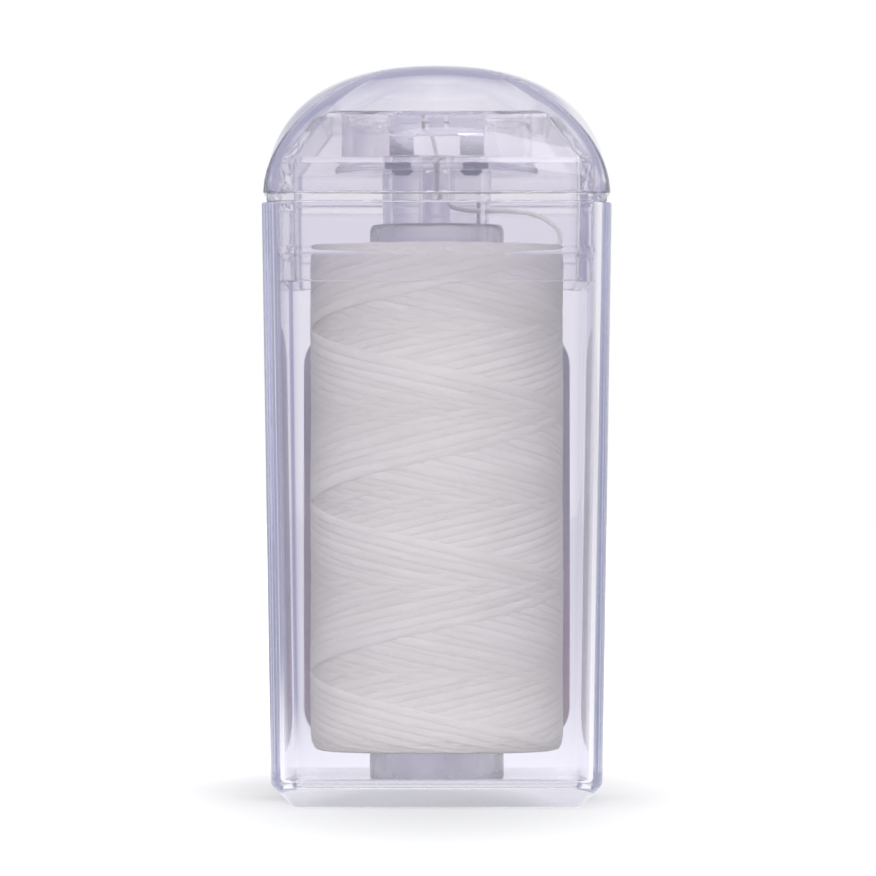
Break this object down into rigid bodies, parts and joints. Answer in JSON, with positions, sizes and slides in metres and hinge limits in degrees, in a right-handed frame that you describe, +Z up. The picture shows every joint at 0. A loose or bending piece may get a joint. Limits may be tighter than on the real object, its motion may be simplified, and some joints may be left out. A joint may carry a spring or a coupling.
{
  "type": "dental floss dispenser",
  "caption": "Clear upright pocket case with a pull-off domed cap, a frosted plug lid with a steel thread cutter, and a turning core of cross-wound dental floss.",
  "frame": {"origin": "middle of the flat face that the case stands on", "axes": "+Z up along the core's axis, -Y towards the front, +X to the right as seen from the front"},
  "size_m": [0.028, 0.028, 0.06],
  "materials": {
    "clear_plastic": "clear polished moulding with a faint lavender tint",
    "frosted_plastic": "milky translucent moulding",
    "core_plastic": "smooth white moulding",
    "waxed_floss": "off-white waxed thread",
    "steel": "thin stamped steel",
    "label_film": "bare printed film in plain mauve grey"
  },
  "bodies": {
    "case": {"case_body": "clear_plastic", "back_label": "label_film"},
    "spool": {"spool_core": "core_plastic", "floss_package": "waxed_floss", "floss_winding": "waxed_floss"},
    "lid": {"inner_lid": "frosted_plastic", "thread_cutter": "steel", "floss_strand": "waxed_floss"},
    "cap": {"cap": "clear_plastic"}
  },
  "joints": [
    {"name": "spool_turn", "type": "hinge", "parent": "case", "child": "spool", "pos_m": [0, 0, 0.0245], "axis": [0, 0, 1], "continuous": true},
    {"name": "lid_lift", "type": "slide", "parent": "case", "child": "lid", "axis": [0, 0, 1], "range_m": [0, 0.012], "deforming": ["floss_strand"]},
    {"name": "cap_lift", "type": "slide", "parent": "lid", "child": "cap", "axis": [0, 0, 1], "range_m": [0, 0.012]}
  ]
}
